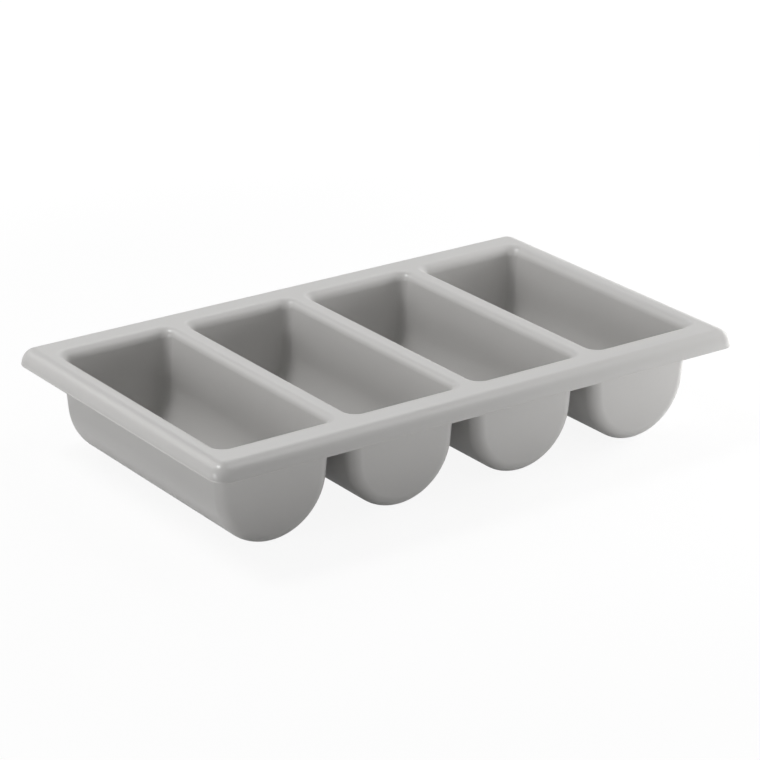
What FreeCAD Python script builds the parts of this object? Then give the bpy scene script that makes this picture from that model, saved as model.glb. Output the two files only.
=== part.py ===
import FreeCAD, Part
import math
import os

import Sketcher
from FreeCAD import Rotation, Vector

# Cutlery dispenser: a moulded plastic tray with four round-bottomed bins side by side under one rim.
# The real tray is a single moulding of even wall. It is modelled here as the bins, which are all
# alike, and the rim with its rolled mouths, which is then divided into its four sides and the
# dividers between the bins. All of them meet face to face.
#
# Millimetres and degrees. X runs along the row of bins, Y along each bin and Z up. The origin is at
# the centre of the footprint, on the surface that the bins stand on.

BIN_COUNT = 4

SIZES = [
    ("height", 97.0, "deck top above the surface that the bins stand on"),
    ("wall", 3.0, "thickness of the moulding"),
    ("bin_width", 105.0, "inside width of a bin, measured at the deck"),
    ("bin_length", 250.0, "inside length of a bin, measured at the deck"),
    ("divider_width", 20.0, "from one bin's inside to the next, at the deck"),
    ("side_border", 25.0, "from an end bin's inside to the rim's outer edge, along X"),
    ("front_border", 37.5, "from a bin's end wall to the rim's outer edge, along Y"),
    ("side_draft", 4.0, "lean of a bin's long walls"),
    ("end_draft", 2.5, "lean of a bin's end walls"),
    ("bin_corner", 8.0, "inside radius between a bin's end wall and its trough"),
    ("rim_roll", 9.5, "radius where the rim turns down into a bin"),
    ("divider_roll", 7.3, "radius where a divider turns down into a bin"),
    ("edge_roll", 13.5, "outside radius of the rim's rolled edge"),
    ("rim_corner", 14.5, "radius of the rim's corners, seen from above"),
    ("skirt_drop", 14.5, "deck top down to the skirt's lower edge"),
]

# How far a cutting shape stands out past the faces that it cuts.
OVERCUT = 4.0
# Two points closer than this are the same point.
NEAR = 0.01
# A bin's round end corner is a ruled loft with this many bands in its quarter turn.
CORNER_BANDS = 4

doc = FreeCAD.newDocument("cutlery_dispenser")


def make_sheet():
    sheet = doc.addObject("Spreadsheet::Sheet", "sizes")
    for row, (alias, value, note) in enumerate(SIZES, start=1):
        sheet.set(f"A{row}", note)
        sheet.set(f"B{row}", str(value))
        sheet.setAlias(f"B{row}", alias)
    doc.recompute()
    return sheet


sheet = make_sheet()


def size(alias):
    return float(getattr(sheet, alias))


# Expressions on the sheet's cells, shared by the sketches and boxes below.
PITCH = "(sizes.bin_width + sizes.divider_width)"
LENGTH = (
    f"({BIN_COUNT} * sizes.bin_width + {BIN_COUNT - 1} * sizes.divider_width"
    " + 2 * sizes.side_border)"
)
WIDTH = "(sizes.bin_length + 2 * sizes.front_border)"
# The bins end and the rim's rolled mouths begin at this height.
COLLAR = "(sizes.height - sizes.rim_roll - sizes.wall)"

# The same lengths as numbers, to find edges and to draw sketches near their final shape.
pitch = size("bin_width") + size("divider_width")
length = BIN_COUNT * size("bin_width") + (BIN_COUNT - 1) * size("divider_width")
length += 2 * size("side_border")
width = size("bin_length") + 2 * size("front_border")
collar = size("height") - size("rim_roll") - size("wall")


def bin_centre(number):
    return (number - (BIN_COUNT + 1) / 2) * pitch


def bin_centre_expression(number):
    return f"{number - (BIN_COUNT + 1) / 2} * {PITCH}"


def constrain(sketch, kind, *references, name=None, expression=None):
    """Add one constraint. A named one takes its value from the sheet."""
    index = sketch.addConstraint(Sketcher.Constraint(kind, *references))
    if name:
        sketch.renameConstraint(index, name)
        sketch.setExpression(f"Constraints.{name}", expression)


def draw_rounded_rectangle(sketch, across, along, radius, values):
    """A centred rectangle with round corners: expressions for X, Y and radius, and their values."""
    half_x, half_y, r = values[0] / 2, values[1] / 2, values[2]
    corners = [(1, -1, -90), (1, 1, 0), (-1, 1, 90), (-1, -1, 180)]
    for sx, sy, start in corners:
        centre = Vector(sx * (half_x - r), sy * (half_y - r), 0)
        circle = Part.Circle(centre, Vector(0, 0, 1), r)
        arc = Part.ArcOfCircle(circle, math.radians(start), math.radians(start + 90))
        sketch.addGeometry(arc, False)
    for index in range(4):
        following = (index + 1) % 4
        start = sketch.Geometry[index].EndPoint
        end = sketch.Geometry[following].StartPoint
        line = sketch.addGeometry(Part.LineSegment(start, end), False)
        constrain(sketch, "Tangent", index, 2, line, 1)
        constrain(sketch, "Tangent", line, 2, following, 1)
        constrain(sketch, "Vertical" if index % 2 == 0 else "Horizontal", line)
    for index in (1, 2, 3):
        constrain(sketch, "Equal", 0, index)
    constrain(sketch, "Symmetric", 0, 3, 2, 3, -1, 1)
    constrain(sketch, "Radius", 0, r, name="corner", expression=radius)
    constrain(sketch, "DistanceX", 6, 1, 4, 1, 2 * half_x, name="across", expression=across)
    constrain(sketch, "DistanceY", 7, 1, 5, 1, 2 * half_y, name="along", expression=along)


def edges_of(feature, wanted):
    return [f"Edge{n}" for n, edge in enumerate(feature.Shape.Edges, start=1) if wanted(edge)]


def lies_at_height(item, z):
    return abs(item.BoundBox.ZMin - z) < NEAR and abs(item.BoundBox.ZMax - z) < NEAR


def make_rim_shell():
    """The rim as an upside-down shallow box of even wall: deck, rolled edge and skirt."""
    body = doc.addObject("PartDesign::Body", "rim_shell")
    outline = body.newObject("Sketcher::SketchObject", "rim_outline")
    plane = next(f for f in body.Origin.OriginFeatures if f.Role == "XY_Plane")
    outline.AttachmentSupport = [(plane, "")]
    outline.MapMode = "FlatFace"
    outline.setExpression("AttachmentOffset.Base.z", "sizes.height - sizes.skirt_drop")
    draw_rounded_rectangle(
        outline, LENGTH, WIDTH, "sizes.rim_corner", (length, width, size("rim_corner"))
    )
    doc.recompute()

    block = body.newObject("PartDesign::Pad", "rim_block")
    block.Profile = outline
    block.setExpression("Length", "sizes.skirt_drop")
    doc.recompute()

    rolled = body.newObject("PartDesign::Fillet", "rim_edge_roll")
    rolled.Base = (block, edges_of(block, lambda e: lies_at_height(e, size("height"))))
    rolled.setExpression("Radius", "sizes.edge_roll")
    doc.recompute()

    floor = size("height") - size("skirt_drop")
    open_faces = [
        f"Face{n}"
        for n, face in enumerate(rolled.Shape.Faces, start=1)
        if lies_at_height(face, floor)
    ]
    shell = body.newObject("PartDesign::Thickness", "rim_wall")
    shell.Base = (rolled, open_faces)
    shell.Mode = "Skin"
    shell.Join = "Arc"
    shell.Reversed = True
    shell.setExpression("Value", "sizes.wall")
    doc.recompute()
    return body


def make_trough(name, skin, rise):
    """A bin's form below the collar, with its middle at X = 0: a ruled loft from end to end.

    skin is how far the form lies outside the cavity, and rise how far its top lies above the
    collar. The bin's round end corners are bands between sections that shrink towards the ends.
    """
    sections = []
    for end in (-1, 1):
        turns = [math.pi / 2 * band / CORNER_BANDS for band in range(CORNER_BANDS + 1)]
        for turn in reversed(turns) if end < 0 else turns:
            sections.append(make_trough_section(name, len(sections), skin, rise, end, turn))
    doc.recompute()
    loft = doc.addObject("Part::Loft", name)
    loft.Sections = sections
    loft.Solid = True
    loft.Ruled = True
    return loft


def make_trough_section(name, index, skin, rise, end, turn):
    """A U with straight leaning sides, on a plane that leans as the end walls do.

    turn is the angle round the end corner, from 0 on the trough to a quarter turn on the end wall.
    """
    radius = f"(sizes.bin_corner + {skin})"
    cover = f"({skin} - {radius} * {1 - math.cos(turn):.9f})"
    ahead = f"({skin} - {radius} * {1 - math.sin(turn):.9f})"
    top = f"({COLLAR} + {rise})"
    radius_value = size("bin_corner") + skin_value(skin)
    cover_value = skin_value(skin) - radius_value * (1 - math.cos(turn))
    top_value = collar + rise

    sketch = doc.addObject("Sketcher::SketchObject", f"{name}_section_{index}")
    sketch.Placement.Rotation = Rotation(Vector(1, 0, 0), 90)
    sketch.setExpression("Placement.Rotation.Angle", f"90 - {end} * sizes.end_draft")
    foot = f"sizes.bin_length / 2 + {ahead} / cos(sizes.end_draft)"
    foot += " - sizes.height * tan(sizes.end_draft)"
    sketch.setExpression("Placement.Base.y", f"{end} * ({foot})")
    draw_trough_section(sketch, cover, top, cover_value, top_value)
    return sketch


def skin_value(skin):
    return size("wall") if skin == "sizes.wall" else 0.0


def draw_trough_section(sketch, cover, top, cover_value, top_value):
    """The U itself: a full-round bottom, two straight leaning sides and a level top."""
    lean = math.radians(size("side_draft"))
    below_deck = size("height") - top_value
    half = size("bin_width") / 2 + cover_value / math.cos(lean) - below_deck * math.tan(lean)
    bottom = size("wall") - cover_value
    bend = (half - (top_value - bottom) * math.tan(lean)) * math.cos(lean) / (1 - math.sin(lean))
    centre = Vector(0, bottom + bend, 0)
    low = Vector(bend * math.cos(lean), centre.y - bend * math.sin(lean), 0)
    right, left = Vector(half, top_value, 0), Vector(-half, top_value, 0)
    circle = Part.Circle(centre, Vector(0, 0, 1), bend)
    sketch.addGeometry(Part.ArcOfCircle(circle, math.pi + lean, 2 * math.pi - lean), False)
    sketch.addGeometry(Part.LineSegment(low, right), False)
    sketch.addGeometry(Part.LineSegment(right, left), False)
    sketch.addGeometry(Part.LineSegment(left, Vector(-low.x, low.y, 0)), False)
    sketch.addGeometry(Part.Point(Vector(0, bottom, 0)), True)
    constrain(sketch, "Tangent", 0, 2, 1, 1)
    constrain(sketch, "Coincident", 1, 2, 2, 1)
    constrain(sketch, "Coincident", 2, 2, 3, 1)
    constrain(sketch, "Tangent", 3, 2, 0, 1)
    constrain(sketch, "Horizontal", 2)
    constrain(sketch, "PointOnObject", 0, 3, -2)
    constrain(sketch, "PointOnObject", 4, 1, -2)
    constrain(sketch, "PointOnObject", 4, 1, 0)
    constrain(sketch, "Equal", 1, 3)
    upright = "90 - sizes.side_draft"
    constrain(sketch, "Angle", 1, math.pi / 2 - lean, name="lean", expression=upright)
    half_width = f"sizes.bin_width / 2 + {cover} / cos(sizes.side_draft)"
    half_width += f" - (sizes.height - {top}) * tan(sizes.side_draft)"
    constrain(sketch, "DistanceX", -1, 1, 1, 2, half, name="half", expression=half_width)
    # The plane leans, so heights are longer on it.
    rise_to = f"{top} / cos(sizes.end_draft)"
    constrain(sketch, "DistanceY", -1, 1, 1, 2, top_value, name="top", expression=rise_to)
    lowest = f"(sizes.wall - {cover}) / cos(sizes.end_draft)"
    constrain(sketch, "DistanceY", -1, 1, 4, 1, bottom, name="bottom", expression=lowest)


def make_throat(name, skin, low, high):
    """A bin's mouth before it is rolled, at X = 0: where two leaning prisms cross, with round corners.

    low and high are expressions for its heights.
    """
    across = ("across", "bin_width", "side_draft", Rotation(Vector(1, 0, 0), 90))
    along = ("along", "bin_length", "end_draft", Rotation(Vector(1, 1, 1), 120))
    prisms = []
    for place, inside, draft, turn in (across, along):
        sketch = doc.addObject("Sketcher::SketchObject", f"{name}_{place}")
        sketch.Placement.Rotation = turn
        reach = f"sizes.{inside} / 2 + {skin} / cos(sizes.{draft})"
        halves = [f"{reach} - (sizes.height - ({z})) * tan(sizes.{draft})" for z in (low, high)]
        draw_trapezium(sketch, halves, (low, high), size(inside) / 2)
        doc.recompute()
        prism = doc.addObject("Part::Extrusion", f"{name}_{place}_prism")
        prism.Base = sketch
        prism.Solid = True
        prism.Symmetric = True
        prism.DirMode = "Normal"
        prism.setExpression("LengthFwd", WIDTH)
        prisms.append(prism)
    crossing = doc.addObject("Part::MultiCommon", f"{name}_crossing")
    crossing.Shapes = prisms
    doc.recompute()

    throat = doc.addObject("Part::Fillet", name)
    throat.Base = crossing
    radius = size("bin_corner") + skin_value(skin)
    throat.Edges = [
        (number, radius, radius)
        for number, edge in enumerate(crossing.Shape.Edges, start=1)
        if edge.BoundBox.ZLength > NEAR
        and edge.BoundBox.XLength < size("bin_width") / 2
        and edge.BoundBox.YLength < size("bin_length") / 2
    ]
    return throat


def draw_trapezium(sketch, halves, levels, near_half):
    """A level-topped form between two heights: expressions for its half widths and the heights."""
    corners = [(-1, collar), (1, collar), (1, size("height")), (-1, size("height"))]
    points = [Vector(side * near_half, z, 0) for side, z in corners]
    for start, end in zip(points, points[1:] + points[:1]):
        sketch.addGeometry(Part.LineSegment(start, end), False)
    for index in range(4):
        constrain(sketch, "Coincident", index, 2, (index + 1) % 4, 1)
    for index, half, level, name in zip((0, 2), halves, levels, ("low", "high")):
        constrain(sketch, "Symmetric", index, 1, index, 2, -2)
        end = 2 if index == 0 else 1
        corner = sketch.getPoint(index, end)
        constrain(
            sketch, "DistanceX", -1, 1, index, end, corner.x, name=f"half_{name}", expression=half
        )
        constrain(sketch, "DistanceY", -1, 1, index, end, corner.y, name=name, expression=level)


def link_to(source, name, number):
    """The source again, in the place of one bin."""
    link = doc.addObject("App::Link", name)
    link.LinkedObject = source
    link.LinkTransform = True
    link.setExpression("Placement.Base.x", bin_centre_expression(number))
    return link


def make_bins():
    """The bins below the collar: one outer form and one cavity, linked into each bin's place."""
    form = make_trough("bin_form", "sizes.wall", 0.0)
    cavity = make_trough("bin_cavity", "0", OVERCUT)
    doc.recompute()
    bins = []
    for number in range(1, BIN_COUNT + 1):
        made = doc.addObject("Part::Cut", f"bin_{number}")
        made.Base = link_to(form, f"bin_form_{number}", number)
        made.Tool = link_to(cavity, f"bin_cavity_{number}", number)
        bins.append(made)
    doc.recompute()
    return bins


def make_rim():
    """The rim with its rolled mouths: the shell joined to the throats' outsides, then hollowed."""
    shell = make_rim_shell()
    outside = make_throat("throat_form", "sizes.wall", COLLAR, "sizes.height - sizes.wall")
    inside = make_throat(
        "throat_cavity", "0", f"{COLLAR} - {OVERCUT}", f"sizes.height + {OVERCUT}"
    )
    doc.recompute()
    numbers = range(1, BIN_COUNT + 1)
    blank = doc.addObject("Part::MultiFuse", "blank")
    blank.Shapes = [shell] + [link_to(outside, f"throat_form_{n}", n) for n in numbers]
    hollows = doc.addObject("Part::Compound", "hollows")
    hollows.Links = [link_to(inside, f"throat_cavity_{n}", n) for n in numbers]
    hollow = doc.addObject("Part::Cut", "hollow")
    hollow.Base = blank
    hollow.Tool = hollows
    doc.recompute()

    # Underneath, the roll's radius is smaller by the wall, which keeps its thickness there.
    roots = doc.addObject("Part::Fillet", "roots")
    roots.Base = hollow
    roots.Edges = mouth_edges(hollow, size("height") - size("wall"), size("wall"))
    doc.recompute()
    rim = doc.addObject("Part::Fillet", "rim")
    rim.Base = roots
    rim.Edges = mouth_edges(roots, size("height"), 0.0)
    doc.recompute()
    return rim


def mouth_edges(feature, z, less):
    """The edges round the mouths at the height z, each with its roll's radii at both ends.

    The radius grows along a bin's corner from the divider's to the rim's. less comes off both.
    """
    found = []
    for number, edge in enumerate(feature.Shape.Edges, start=1):
        if lies_at_height(edge, z) and not is_outline(edge):
            ends = [edge.valueAt(edge.FirstParameter), edge.valueAt(edge.LastParameter)]
            if edge.Orientation == "Reversed":
                ends.reverse()
            found.append((number, *[mouth_roll(point) - less for point in ends]))
    return found


def is_outline(edge):
    """True outside the bins, where the rim's own edges are."""
    box = edge.BoundBox
    beyond_x = max(abs(box.XMin), abs(box.XMax)) > length / 2 - size("side_border") / 2
    beyond_y = max(abs(box.YMin), abs(box.YMax)) > width / 2 - size("front_border") / 2
    return beyond_x or beyond_y


def mouth_roll(point):
    """The roll's radius at a point of a mouth's edge: smaller beside a divider than at the rim."""
    beside_wall = abs(point.y) < size("bin_length") / 2 - size("bin_corner") / 2
    at_rim = abs(point.x) > length / 2 - size("side_border") - size("bin_width") / 2
    return size("divider_roll") if beside_wall and not at_rim else size("rim_roll")


def make_box(name, x_range, y_range, z_range):
    """A box between two expressions on each axis."""
    box = doc.addObject("Part::Box", name)
    sides = {"x": "Length", "y": "Width", "z": "Height"}
    for (axis, side), (low, high) in zip(sides.items(), (x_range, y_range, z_range)):
        box.setExpression(side, f"({high}) - ({low})")
        box.setExpression(f"Placement.Base.{axis}", low)
    return box


def divide_rim(rim):
    """The rim's named regions, which meet face to face."""
    joint = "(sizes.bin_length / 2 - sizes.bin_corner - sizes.rim_roll)"
    half_x = f"({LENGTH} / 2 + {OVERCUT})"
    half_y = f"({WIDTH} / 2 + {OVERCUT})"
    middle = (f"-{joint}", joint)
    zones = {
        "front_rim": ((f"-{half_x}", half_x), (f"-{half_y}", f"-{joint}")),
        "back_rim": ((f"-{half_x}", half_x), (joint, half_y)),
        "left_rim": ((f"-{half_x}", bin_centre_expression(1)), middle),
        "right_rim": ((bin_centre_expression(BIN_COUNT), half_x), middle),
    }
    for n in range(1, BIN_COUNT):
        zones[f"divider_{n}"] = ((bin_centre_expression(n), bin_centre_expression(n + 1)), middle)
    regions = []
    for name, (x_range, y_range) in zones.items():
        region = doc.addObject("Part::Common", name)
        region.Base = rim
        region.Tool = make_box(f"{name}_zone", x_range, y_range, ("0", "sizes.height + 1"))
        regions.append(region)
    doc.recompute()
    return regions


def check(nodes):
    for item in doc.Objects:
        if "Invalid" in item.State or "Error" in item.State:
            raise RuntimeError(f"{item.Label} failed: {item.State}")
        shape = getattr(item, "Shape", None)
        if shape is not None and (shape.isNull() or not shape.isValid()):
            raise RuntimeError(f"{item.Label} has no valid shape")
    for node in nodes:
        if len(node.Shape.Solids) != 1:
            raise RuntimeError(f"{node.Label} is not one solid")


nodes = make_bins() + divide_rim(make_rim())
check(nodes)
os.makedirs("parts", exist_ok=True)
for node in nodes:
    node.Shape.exportStep(f"parts/{node.Label}.step")
    print(f"{node.Label:10s} {node.Shape.Volume / 1000:8.2f} cm3")
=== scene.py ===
import math

import bmesh
import bpy
from mathutils import Matrix, Vector


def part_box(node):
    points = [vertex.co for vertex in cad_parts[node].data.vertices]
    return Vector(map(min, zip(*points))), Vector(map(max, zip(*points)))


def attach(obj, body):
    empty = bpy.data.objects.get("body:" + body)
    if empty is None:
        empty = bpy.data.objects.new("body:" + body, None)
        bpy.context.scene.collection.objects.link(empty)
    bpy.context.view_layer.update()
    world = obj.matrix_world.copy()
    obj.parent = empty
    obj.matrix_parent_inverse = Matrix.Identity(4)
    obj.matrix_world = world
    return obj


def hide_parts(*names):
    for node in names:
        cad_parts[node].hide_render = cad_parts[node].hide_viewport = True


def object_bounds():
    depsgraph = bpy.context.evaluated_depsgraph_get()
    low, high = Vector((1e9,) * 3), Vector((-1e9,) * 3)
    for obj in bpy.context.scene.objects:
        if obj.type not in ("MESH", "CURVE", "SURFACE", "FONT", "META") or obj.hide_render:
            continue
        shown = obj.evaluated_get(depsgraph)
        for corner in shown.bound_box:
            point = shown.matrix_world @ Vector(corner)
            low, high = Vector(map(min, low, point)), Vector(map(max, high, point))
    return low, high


# A moulded cutlery tray: four round-bottomed bins under one rim, in satin light grey plastic.
# Metres. X runs along the row of bins, Y along each bin and Z up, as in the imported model.

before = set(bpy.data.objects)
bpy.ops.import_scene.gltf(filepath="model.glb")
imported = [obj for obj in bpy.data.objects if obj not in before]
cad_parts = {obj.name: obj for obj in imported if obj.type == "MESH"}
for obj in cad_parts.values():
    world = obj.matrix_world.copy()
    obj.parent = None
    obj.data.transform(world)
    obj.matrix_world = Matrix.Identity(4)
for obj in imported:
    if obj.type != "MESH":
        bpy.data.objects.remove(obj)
cad_low, cad_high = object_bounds()

MM = 0.001
UP = Vector((0, 0, 1))

BIN_COUNT = 4
HEIGHT = cad_high.z
HALF_LENGTH = cad_high.x
HALF_WIDTH = cad_high.y
WALL = 3.0 * MM
BIN_WIDTH = 105.0 * MM
BIN_LENGTH = 250.0 * MM
PITCH = 125.0 * MM
SIDE_DRAFT = math.radians(4.0)
END_DRAFT = math.radians(2.5)
BIN_CORNER = 8.0 * MM
RIM_ROLL = 9.5 * MM
DIVIDER_ROLL = 7.3 * MM
EDGE_ROLL = 13.5 * MM
RIM_CORNER = 14.5 * MM
SKIRT_DROP = 14.5 * MM
LIP_ROUND = 0.8 * MM
# The thin bead along the skirt's lower edge: how far it stands out, and how high it reaches.
BEAD = 0.42 * MM
BEAD_HEIGHT = 2.0 * MM

# The bins are cut from the rim at this height, and the rim's ends from its sides at this Y.
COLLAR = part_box("bin_1")[1].z
SIDE_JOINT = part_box("left_rim")[1].y
# How far a skin runs on past the height where it is cut, and how near a cut takes a point as on it.
SPARE = 3.0 * MM
CUT_REACH = 0.0001 * MM

# How finely the round stretches are divided.
TROUGH_STEPS = 64
CORNER_STEPS = 12
ROLL_STEPS = 20
RIM_CORNER_STEPS = 16
LIP_STEPS = 5
BEAD_STEPS = 8

NORMALS = "skin_normal"
# A face keeps the skin's smooth normal only where it lies about as the skin does (a cosine).
ALIKE = 0.85
# A skin counts as upright below this slope.
UPRIGHT = 0.01


class Skin:
    """The moulding's upper face: points, their normals, their backs and the faces between them."""

    def __init__(self):
        self.points = []
        self.normals = []
        self.backs = []
        self.faces = []

    def add(self, point, normal, through=None):
        """through is the way that the wall's thickness is measured, if it isn't the normal."""
        self.points.append(point)
        self.normals.append(normal.normalized())
        self.backs.append(point - (through or normal).normalized() * WALL)
        return len(self.points) - 1

    def band(self, first, second, closed=False):
        """Faces between two rows of as many points."""
        count = len(first)
        for i in range(count if closed else count - 1):
            j = (i + 1) % count
            corners = list(dict.fromkeys([first[i], first[j], second[j], second[i]]))
            if len(corners) > 2:
                self.faces.append(corners)


def wall_foot(side, z):
    """A point (x, z) of a bin's straight long wall, seen along the bin."""
    return side * (BIN_WIDTH / 2 - (HEIGHT - z) * math.tan(SIDE_DRAFT)), z


def wall_normal(side):
    return Vector((-side * math.cos(SIDE_DRAFT), 0, math.sin(SIDE_DRAFT)))


def round_bottom():
    """Points and normals of the round bottom, from where the +X wall ends to where the -X one does."""
    depth = HEIGHT - WALL
    half = BIN_WIDTH / 2 - depth * math.tan(SIDE_DRAFT)
    bend = half * math.cos(SIDE_DRAFT) / (1 - math.sin(SIDE_DRAFT))
    for step in range(TROUGH_STEPS + 1):
        angle = SIDE_DRAFT + (math.pi - 2 * SIDE_DRAFT) * step / TROUGH_STEPS
        normal = Vector((-math.cos(angle), 0, math.sin(angle)))
        yield (-bend * normal.x, WALL + bend - bend * normal.z), normal


def bin_corner(foot, normal, end, share):
    """A point of the round corner between the trough and an end wall, and the skin's normal there.

    foot and normal are the trough's. share runs from 0 on the trough to 1 on the end wall.
    """
    outward = Vector((0, end * math.cos(END_DRAFT), -math.sin(END_DRAFT)))
    x = foot[0] + normal.x * BIN_CORNER
    z = foot[1] + normal.z * BIN_CORNER
    reach = BIN_LENGTH / 2 - (HEIGHT - z) * math.tan(END_DRAFT) - BIN_CORNER / math.cos(END_DRAFT)
    angle = share * math.pi / 2
    direction = (outward * math.sin(angle) - normal * math.cos(angle)).normalized()
    return Vector((x, end * reach, z)) + direction * BIN_CORNER, -direction


def mouth_columns():
    """The upright lines of the skin round a mouth, anticlockwise: (side, end, share) of each."""
    shares = [step / CORNER_STEPS for step in range(CORNER_STEPS + 1)]
    for side, end, towards_end in ((1, -1, False), (1, 1, True), (-1, 1, False), (-1, -1, True)):
        for share in shares if towards_end else reversed(shares):
            yield side, end, share


def column_point(column, z):
    """Where one of those lines is at the height z, and the skin's normal there."""
    side, end, share = column
    along = bin_corner(wall_foot(side, z), wall_normal(side), end, share)[1]
    foot_z = z - BIN_CORNER * (wall_normal(side).z - along.z)
    return bin_corner(wall_foot(side, foot_z), wall_normal(side), end, share)


def cup_skin():
    """The inside of one bin, open at its top, with the bin's middle at x = 0."""
    skin = Skin()
    top = COLLAR + SPARE
    stations = [
        (wall_foot(1, top), wall_normal(1)),
        *round_bottom(),
        (wall_foot(-1, top), wall_normal(-1)),
    ]
    shares = [step / CORNER_STEPS for step in range(CORNER_STEPS + 1)]
    ends = {}
    for end in (-1, 1):
        ends[end] = [
            [skin.add(*bin_corner(foot, normal, end, share)) for share in shares]
            for foot, normal in stations
        ]
    last = len(stations) - 1
    for row in range(last):
        for end in (-1, 1):
            skin.band(ends[end][row], ends[end][row + 1])
        near, far = ends[-1], ends[1]
        skin.band([near[row][0], far[row][0]], [near[row + 1][0], far[row + 1][0]])
    for end in (-1, 1):
        wall = [row[-1] for row in ends[end]]
        for row in range(last // 2):
            skin.band([wall[row], wall[last - row]], [wall[row + 1], wall[last - row - 1]])
    return skin


def ease(share):
    """From 0 to 1, level at both ends."""
    return share * share * (3 - 2 * share)


def ease_slope(share):
    return 6 * share * (1 - share)


def mouth_roll(number, column):
    """Radius of the roll at a line of a mouth: the divider's at its side, the rim's elsewhere."""
    side, _, share = column
    at_rim = (number == 1 and side < 0) or (number == BIN_COUNT and side > 0)
    if at_rim:
        return RIM_ROLL
    return DIVIDER_ROLL + (RIM_ROLL - DIVIDER_ROLL) * ease(share)


def add_mouth(skin, number):
    """A bin's mouth, from below the collar up the wall and over the roll. Returns its deck loop."""
    middle = Vector(((number - (BIN_COUNT + 1) / 2) * PITCH, 0, 0))
    columns = []
    for column in mouth_columns():
        low, normal = column_point(column, COLLAR - SPARE)
        rows = [skin.add(low + middle, normal)]
        roll = mouth_roll(number, column)
        start, normal = column_point(column, HEIGHT - roll * (1 - normal.z))
        centre = start + middle - normal * roll
        level = Vector((normal.x, normal.y, 0)).normalized()
        lean = math.acos(normal.z)
        for step in range(ROLL_STEPS + 1):
            angle = lean * (1 - step / ROLL_STEPS)
            direction = UP * math.cos(angle) + level * math.sin(angle)
            rows.append(skin.add(centre + direction * roll, direction))
        columns.append(rows)
    for row in range(ROLL_STEPS + 1):
        skin.band([c[row] for c in columns], [c[row + 1] for c in columns], closed=True)
    return [c[-1] for c in columns]


def outline_columns():
    """The lines down the rim's rolled edge, anticlockwise: the corner's middle and the way out."""
    inset_x, inset_y = HALF_LENGTH - RIM_CORNER, HALF_WIDTH - RIM_CORNER
    for quarter, (sx, sy) in enumerate(((1, -1), (1, 1), (-1, 1), (-1, -1))):
        for step in range(RIM_CORNER_STEPS + 1):
            angle = math.radians(-90 + 90 * (quarter + step / RIM_CORNER_STEPS))
            outward = Vector((math.cos(angle), math.sin(angle), 0))
            yield Vector((sx * inset_x, sy * inset_y, 0)), outward


def edge_rows(corner, outward):
    """Down the rolled edge and over the bead at its foot: each point, its normal and the way through."""
    bead_top = HEIGHT - SKIRT_DROP + BEAD_HEIGHT
    centre = corner + outward * (RIM_CORNER - BEAD - EDGE_ROLL) + UP * (HEIGHT - EDGE_ROLL)
    sweep = math.acos((bead_top - centre.z) / EDGE_ROLL)
    for step in range(ROLL_STEPS + 1):
        angle = sweep * step / ROLL_STEPS
        direction = UP * math.cos(angle) + outward * math.sin(angle)
        yield centre + direction * EDGE_ROLL, direction, direction if step < ROLL_STEPS else outward
    fall = BEAD_HEIGHT - LIP_ROUND
    reach = BEAD + EDGE_ROLL * (1 - math.sin(sweep))
    for step in range(1, BEAD_STEPS + 1):
        share = step / BEAD_STEPS
        inset = reach * (1 - ease(share))
        slope = reach * ease_slope(share) / fall
        point = corner + outward * (RIM_CORNER - inset) + UP * (bead_top - fall * share)
        yield point, outward + UP * slope, outward


def add_edge(skin):
    """The rim's rolled edge and skirt. Returns its deck loop."""
    columns = [[skin.add(*row) for row in edge_rows(*column)] for column in outline_columns()]
    for row in range(len(columns[0]) - 1):
        skin.band([c[row] for c in columns], [c[row + 1] for c in columns], closed=True)
    return [c[0] for c in columns]


def fill_deck(skin, loops):
    """The flat deck between the rolled edge and the mouths."""
    bm = bmesh.new()
    source = {}
    edges = []
    for loop in loops:
        verts = [bm.verts.new(skin.points[i]) for i in loop]
        source.update({vert: i for vert, i in zip(verts, loop)})
        edges += [bm.edges.new((a, b)) for a, b in zip(verts, verts[1:] + verts[:1])]
    filled = bmesh.ops.triangle_fill(bm, edges=edges, use_beauty=True, normal=UP)
    for face in filled["geom"]:
        if isinstance(face, bmesh.types.BMFace):
            skin.faces.append([source[vert] for vert in face.verts])
    bm.free()


def thicken(skin):
    """A closed body: the skin, its copy at the wall's thickness below, and strips that join them."""
    bm = bmesh.new()
    layer = bm.verts.layers.float_vector.new(NORMALS)

    def place(point, normal):
        vert = bm.verts.new(point)
        vert[layer] = normal
        return vert

    upper = [place(p, n) for p, n in zip(skin.points, skin.normals)]
    lower = [place(b, -n) for b, n in zip(skin.backs, skin.normals)]
    for face in skin.faces:
        bm.faces.new([upper[i] for i in face])
        bm.faces.new([lower[i] for i in reversed(face)])
    twin = dict(zip(upper, lower))
    borders = [e for e in bm.edges if e.is_boundary and e.verts[0] in twin and e.verts[1] in twin]
    strips = {}
    for edge in borders:
        for vert in edge.verts:
            if vert not in strips:
                strips[vert] = [vert, *lip_points(vert, vert[layer], place), twin[vert]]
        first, second = (strips[vert] for vert in edge.verts)
        for i in range(len(first) - 1):
            bm.faces.new([first[i], second[i], second[i + 1], first[i + 1]])
    bmesh.ops.recalc_face_normals(bm, faces=bm.faces)
    return bm


def lip_points(vert, outward, place):
    """Points round the skirt's lower edge, or none at an edge that is cut off later."""
    floor = HEIGHT - SKIRT_DROP
    if abs(vert.co.z - floor - LIP_ROUND) > LIP_ROUND / 2 or abs(outward.z) > UPRIGHT:
        return []
    centre = vert.co - outward * LIP_ROUND
    points = []
    for step in range(1, LIP_STEPS + 1):
        angle = math.pi / 2 * step / LIP_STEPS
        direction = outward * math.cos(angle) - UP * math.sin(angle)
        points.append(place(centre + direction * LIP_ROUND, direction))
    inner = vert.co - outward * WALL
    inner.z = floor
    points.append(place(inner, -outward))
    return points


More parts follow.
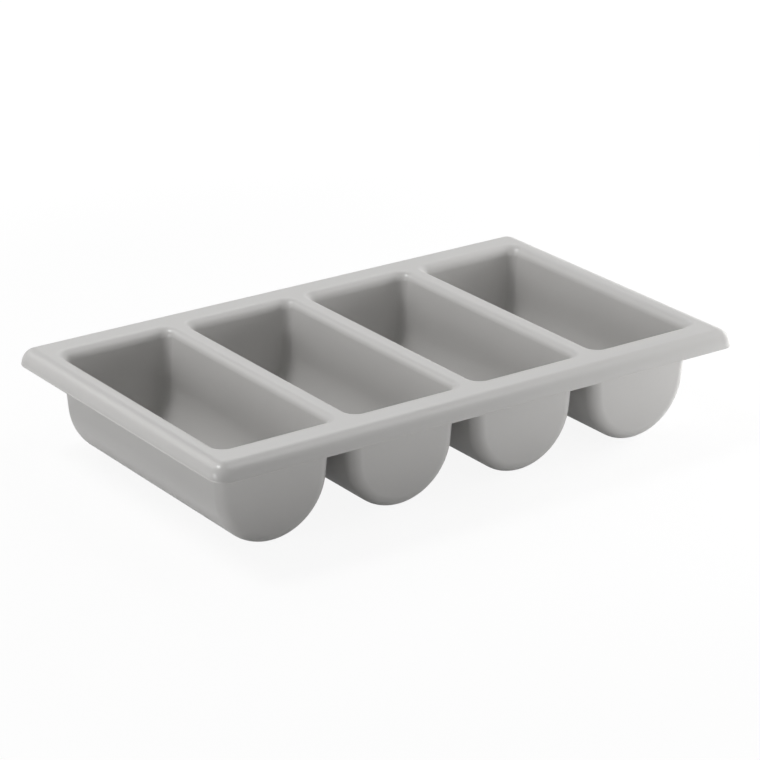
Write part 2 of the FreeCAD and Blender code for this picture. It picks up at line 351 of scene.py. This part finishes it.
def cut(bm, point, normal, within=None):
    """Take away what lies past the plane, on the side that the normal points to, and close the cut.

    within limits the cut to the parts whose points it accepts.
    """
    parts = [*bm.verts, *bm.edges, *bm.faces]
    if within:
        parts = [part for part in parts if all(within(vert.co) for vert in points_of(part))]
    result = bmesh.ops.bisect_plane(
        bm, geom=parts, dist=CUT_REACH, plane_co=point, plane_no=normal, clear_outer=True
    )
    edges = [e for e in result["geom_cut"] if isinstance(e, bmesh.types.BMEdge)]
    if edges:
        bmesh.ops.triangle_fill(bm, edges=edges, use_beauty=True, normal=normal)
    bmesh.ops.recalc_face_normals(bm, faces=bm.faces)


def points_of(part):
    return [part] if isinstance(part, bmesh.types.BMVert) else part.verts


def inside_rim(point):
    """True in the bins' throats and false in the rolled edge and the skirt."""
    return abs(point.x) < HALF_LENGTH - RIM_CORNER and abs(point.y) < HALF_WIDTH - RIM_CORNER


def new_object(name, bm):
    mesh = bpy.data.meshes.new(name)
    bm.to_mesh(mesh)
    obj = bpy.data.objects.new(name, mesh)
    bpy.context.scene.collection.objects.link(obj)
    return obj


def settle_normals(obj):
    """Smooth the skins by their true normals, and leave cut faces flat."""
    mesh = obj.data
    mesh.shade_smooth()
    true = [Vector(item.vector).normalized() for item in mesh.attributes[NORMALS].data]
    corners = [None] * len(mesh.loops)
    for face in mesh.polygons:
        for i in face.loop_indices:
            normal = true[mesh.loops[i].vertex_index]
            corners[i] = normal if normal.dot(face.normal) > ALIKE else face.normal.copy()
    mesh.attributes.remove(mesh.attributes[NORMALS])
    mesh.normals_split_custom_set(corners)
    return obj


class Socket:
    """An output of a node. Arithmetic on it adds the Math nodes that the expression needs."""

    def __init__(self, tree, output=None):
        self.tree = tree
        self.output = output

    def node(self, kind, settings=None, inputs=None, output=0):
        """Add a node: its settings first, then the values or links of its sockets."""
        made = self.tree.nodes.new(kind)
        for name, value in (settings or {}).items():
            setattr(made, name, value)
        for name, value in (inputs or {}).items():
            if isinstance(value, Socket):
                self.tree.links.new(value.output, made.inputs[name])
            else:
                made.inputs[name].default_value = value
        return Socket(self.tree, made.outputs[output] if made.outputs else None)

    def math(self, operation, first, second):
        return self.node("ShaderNodeMath", {"operation": operation}, {0: first, 1: second})

    def __add__(self, other):
        return self.math("ADD", self, other)

    def __mul__(self, other):
        return self.math("MULTIPLY", self, other)

    def __sub__(self, other):
        return self.math("SUBTRACT", self, other)

    def __rsub__(self, other):
        return self.math("SUBTRACT", other, self)

    __radd__ = __add__
    __rmul__ = __mul__


# The row of bins is one cup, repeated by geometry nodes.

def row_tree(material):
    tree = bpy.data.node_groups.new("row_of_bins", "GeometryNodeTree")
    face = tree.interface
    face.new_socket("Geometry", in_out="INPUT", socket_type="NodeSocketGeometry")
    face.new_socket("Count", in_out="INPUT", socket_type="NodeSocketInt")
    face.new_socket("First", in_out="INPUT", socket_type="NodeSocketVector")
    face.new_socket("Step", in_out="INPUT", socket_type="NodeSocketVector")
    face.new_socket("Geometry", in_out="OUTPUT", socket_type="NodeSocketGeometry")
    start = Socket(tree)
    line = start.node(
        "GeometryNodeMeshLine",
        {"mode": "OFFSET"},
        {
            "Count": start.node("NodeGroupInput", output="Count"),
            "Start Location": start.node("NodeGroupInput", output="First"),
            "Offset": start.node("NodeGroupInput", output="Step"),
        },
    )
    cup = start.node("NodeGroupInput", output="Geometry")
    copies = start.node("GeometryNodeInstanceOnPoints", None, {"Points": line, "Instance": cup})
    row = start.node("GeometryNodeRealizeInstances", None, {"Geometry": copies})
    painted = start.node("GeometryNodeSetMaterial", None, {"Geometry": row, "Material": material})
    start.node("NodeGroupOutput", None, {"Geometry": painted})
    return tree


def repeat_in_row(cup, material):
    """The cup, copied along the row and made a plain mesh."""
    modifier = cup.modifiers.new("row", "NODES")
    tree = row_tree(material)
    modifier.node_group = tree
    values = {
        "Count": BIN_COUNT,
        "First": (-(BIN_COUNT - 1) / 2 * PITCH, 0.0, 0.0),
        "Step": (PITCH, 0.0, 0.0),
    }
    for item in tree.interface.items_tree:
        if item.in_out == "INPUT" and item.name in values:
            modifier[item.identifier] = values[item.name]
    evaluated = cup.evaluated_get(bpy.context.evaluated_depsgraph_get())
    mesh = bpy.data.meshes.new_from_object(evaluated)
    cup.modifiers.remove(modifier)
    cup.data = mesh
    return cup


def make_bins(material):
    body = thicken(cup_skin())
    cut(body, UP * COLLAR, UP)
    cup = new_object("bins", body)
    body.free()
    return settle_normals(repeat_in_row(cup, material))


def make_rim_body():
    """The whole rim, with the dividers between the mouths, as one closed body."""
    skin = Skin()
    mouths = [add_mouth(skin, number) for number in range(1, BIN_COUNT + 1)]
    fill_deck(skin, [add_edge(skin), *mouths])
    body = thicken(skin)
    cut(body, UP * COLLAR, -UP, within=inside_rim)
    return body


def make_share(name, whole, planes, material):
    """One region of the rim: the whole, cut at each plane (point, direction of what goes)."""
    body = whole.copy()
    for point, normal in planes:
        cut(body, Vector(point), Vector(normal))
    obj = new_object(name, body)
    body.free()
    obj.data.materials.append(material)
    return settle_normals(obj)


def make_rim(material):
    whole = make_rim_body()
    near = ((0, -SIDE_JOINT, 0), (0, -1, 0))
    far = ((0, SIDE_JOINT, 0), (0, 1, 0))
    pieces = {
        "front_rim": [((0, -SIDE_JOINT, 0), (0, 1, 0))],
        "back_rim": [((0, SIDE_JOINT, 0), (0, -1, 0))],
    }
    middles = [(n - (BIN_COUNT + 1) / 2) * PITCH for n in range(1, BIN_COUNT + 1)]
    pieces["left_rim"] = [near, far, ((middles[0], 0, 0), (1, 0, 0))]
    pieces["right_rim"] = [near, far, ((middles[-1], 0, 0), (-1, 0, 0))]
    for n, (left, right) in enumerate(zip(middles, middles[1:]), start=1):
        pieces[f"divider_{n}"] = [near, far, ((left, 0, 0), (-1, 0, 0)), ((right, 0, 0), (1, 0, 0))]
    made = {}
    for node, planes in pieces.items():
        made[node] = make_share(f"{node}_skin", whole, planes, material)
    whole.free()
    return made


def new_material(name):
    """An empty material and a socket to build its nodes from."""
    material = bpy.data.materials.new(name)
    material.use_nodes = True
    material.node_tree.nodes.clear()
    return material, Socket(material.node_tree)


def noise(start, place, size, detail=2.0):
    """Soft noise from 0 to 1 whose lumps are about as large as the size, in metres."""
    return start.node("ShaderNodeTexNoise", None, {"Vector": place, "Scale": 1 / size, "Detail": detail})


# The plastic's two tones, and how far its gloss and its skin vary.
TONE_LIGHT = (0.584, 0.577, 0.566, 1)
TONE_DEEP = (0.554, 0.547, 0.537, 1)
SATIN = 0.30
SATIN_SPREAD = 0.08
IOR = 1.49
CLOUD_SIZE = 90 * MM
SPECK_SIZE = 2.5 * MM
PEEL_SIZE, PEEL_DEPTH = 7 * MM, 0.03 * MM
GRAIN_SIZE, GRAIN_DEPTH = 0.7 * MM, 0.004 * MM
# How much of the tone, and of the gloss, follows the large clouds.
TONE_CLOUDED = 0.7
SATIN_CLOUDED = 0.6


def satin_polypropylene():
    """Light grey moulded plastic: clouded tone, uneven satin, orange peel and a fine sparked grain."""
    material, start = new_material("satin_polypropylene")
    place = start.node("ShaderNodeTexCoord", output="Object")
    clouds = noise(start, place, CLOUD_SIZE, detail=3.0)
    specks = noise(start, place, SPECK_SIZE)
    peel = noise(start, place, PEEL_SIZE)
    grain = noise(start, place, GRAIN_SIZE)
    tone = start.node(
        "ShaderNodeMix",
        {"data_type": "RGBA"},
        {
            "Factor": clouds * TONE_CLOUDED + specks * (1 - TONE_CLOUDED),
            "A": TONE_DEEP,
            "B": TONE_LIGHT,
        },
        output="Result",
    )
    uneven = clouds * SATIN_CLOUDED + peel * (1 - SATIN_CLOUDED) - 0.5
    satin = SATIN + uneven * SATIN_SPREAD
    skin = start.node(
        "ShaderNodeBump",
        None,
        {"Height": peel * PEEL_DEPTH + grain * GRAIN_DEPTH, "Distance": 1.0, "Strength": 1.0},
    )
    surface = start.node(
        "ShaderNodeBsdfPrincipled",
        None,
        {"Base Color": tone, "Roughness": satin, "IOR": IOR, "Normal": skin},
    )
    start.node("ShaderNodeOutputMaterial", None, {"Surface": surface})
    return material


# Studio: a white floor and wall, soft lamps and the camera.

# The floor is pale to the light that falls on the tray, and all but white to the camera.
FLOOR_HALF = 6.0
FLOOR_TONE = (0.80, 0.80, 0.80, 1)
# How much of the floor is plain white to the camera and in reflections. The rest shows the shadow.
FLOOR_GLOW = 0.88
FLOOR_GLOW_REFLECTED = 0.22
FLOOR_WHITE = 1.03
# Further out than this the floor holds no shadow, and is white all over.
SHADOW_NEAR, SHADOW_FAR = 0.5, 1.1


def new_floor():
    mesh = bpy.data.meshes.new("floor")
    half = FLOOR_HALF
    corners = [(-half, -half, 0), (half, -half, 0), (half, half, 0), (-half, half, 0)]
    mesh.from_pydata(corners, [], [(0, 1, 2, 3)])
    floor = bpy.data.objects.new("floor", mesh)
    bpy.context.scene.collection.objects.link(floor)
    mesh.materials.append(floor_paint())


def ray(start, kind):
    """1 for rays of that kind and 0 for others."""
    return start.node("ShaderNodeLightPath", output=f"Is {kind} Ray")


def floor_paint():
    """Matt pale paint for the light, with a white share for the camera and for reflections."""
    material, start = new_material("studio_floor")
    place = start.node("ShaderNodeTexCoord", output="Object")
    away = start.node("ShaderNodeVectorMath", {"operation": "LENGTH"}, {0: place}, output="Value")
    open_floor = start.node(
        "ShaderNodeMapRange",
        {"interpolation_type": "SMOOTHSTEP"},
        {"Value": away, "From Min": SHADOW_NEAR, "From Max": SHADOW_FAR},
    )
    glow = ray(start, "Camera") * (FLOOR_GLOW + open_floor * (1 - FLOOR_GLOW))
    glow += (ray(start, "Glossy") + ray(start, "Transmission")) * FLOOR_GLOW_REFLECTED
    paint = start.node("ShaderNodeBsdfDiffuse", None, {"Color": FLOOR_TONE})
    white = start.node("ShaderNodeEmission", None, {"Strength": FLOOR_WHITE})
    surface = start.node("ShaderNodeMixShader", None, {0: glow, 1: paint, 2: white})
    start.node("ShaderNodeOutputMaterial", None, {"Surface": surface})
    return material


def new_world():
    """Plain white all round to the camera, in reflections and through clear things."""
    world = bpy.data.worlds.new("studio")
    bpy.context.scene.world = world
    world.use_nodes = True
    world.node_tree.nodes.clear()
    start = Socket(world.node_tree)
    seen = ray(start, "Camera") + ray(start, "Glossy") + ray(start, "Transmission")
    white = start.node("ShaderNodeBackground", None, {"Strength": seen})
    start.node("ShaderNodeOutputWorld", None, {"Surface": white})


# Soft boxes: the side that each stands at and its height, both in degrees, then its distance and
# side in metres, and its power in watts. The side counts from the front, towards the right.
# The boxes near the floor only fill in, and don't show in reflections.
LAMPS = {
    "ceiling_left": (-120, 60, 2.0, 0.6, 17.9),
    "back_left": (-150, 40, 2.0, 1.0, 5.1),
    "back_right": (150, 40, 2.0, 1.0, 3.9),
    "left_low": (-90, 12, 2.0, 0.6, 8.9),
    "right_high": (60, 60, 2.0, 1.0, 5.6),
    "right_low": (90, 8, 1.1, 0.4, 11.0),
    "right_near": (45, 8, 0.7, 0.4, 1.4),
    "front_near": (0, 8, 1.1, 0.4, 1.2),
}
LAMP_AIM = Vector((0, 0, 60 * MM))
# The height in degrees up to which a box counts as near the floor.
LOW_LAMP = 10.0


def new_lamp(name, side, height, distance, size, power):
    light = bpy.data.lights.new(name, "AREA")
    light.shape = "SQUARE"
    light.size = size
    light.energy = power
    lamp = bpy.data.objects.new(name, light)
    bpy.context.scene.collection.objects.link(lamp)
    towards = direction_at(math.radians(side), math.radians(height))
    lamp.location = LAMP_AIM + towards * distance
    lamp.rotation_euler = towards.to_track_quat("Z", "Y").to_euler()
    lamp.visible_glossy = height > LOW_LAMP


def direction_at(side, height):
    """The direction at a side (from the front, towards the right) and a height, in radians."""
    level = Vector((math.sin(side), -math.cos(side), 0))
    return level * math.cos(height) + UP * math.sin(height)


# The camera looks at a point a little under the middle of the deck.
CAMERA_SIDE = math.radians(-34.9875)
CAMERA_HEIGHT = math.radians(21.6444)
CAMERA_ROLL = math.radians(-0.0517)
CAMERA_DISTANCE = 2629.2 * MM
AIM_RIGHT = 1.04 * MM
AIM_DOWN = 35.75 * MM
LENS = 145.376
SENSOR = 36.0
FAR_CLIP = 50.0


def new_camera():
    back = direction_at(CAMERA_SIDE, CAMERA_HEIGHT)
    level = UP.cross(back).normalized()
    upright = back.cross(level)
    right = level * math.cos(CAMERA_ROLL) + upright * math.sin(CAMERA_ROLL)
    up = upright * math.cos(CAMERA_ROLL) - level * math.sin(CAMERA_ROLL)
    data = bpy.data.cameras.new("camera")
    data.sensor_width = SENSOR
    data.lens = LENS
    data.clip_end = FAR_CLIP
    camera = bpy.data.objects.new("camera", data)
    bpy.context.scene.collection.objects.link(camera)
    place = UP * HEIGHT + back * CAMERA_DISTANCE + right * AIM_RIGHT - up * AIM_DOWN
    turn = Matrix((right, up, back)).transposed().to_4x4()
    camera.matrix_world = Matrix.Translation(place) @ turn
    bpy.context.scene.camera = camera


plastic = satin_polypropylene()
bins = make_bins(plastic)
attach(bins, "root")
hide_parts(*[f"bin_{n}" for n in range(1, BIN_COUNT + 1)])
for node, piece in make_rim(plastic).items():
    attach(piece, "root")
    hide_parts(node)

new_floor()
new_world()
for name, values in LAMPS.items():
    new_lamp(name, *values)
new_camera()
bpy.context.scene.view_settings.view_transform = "Standard"
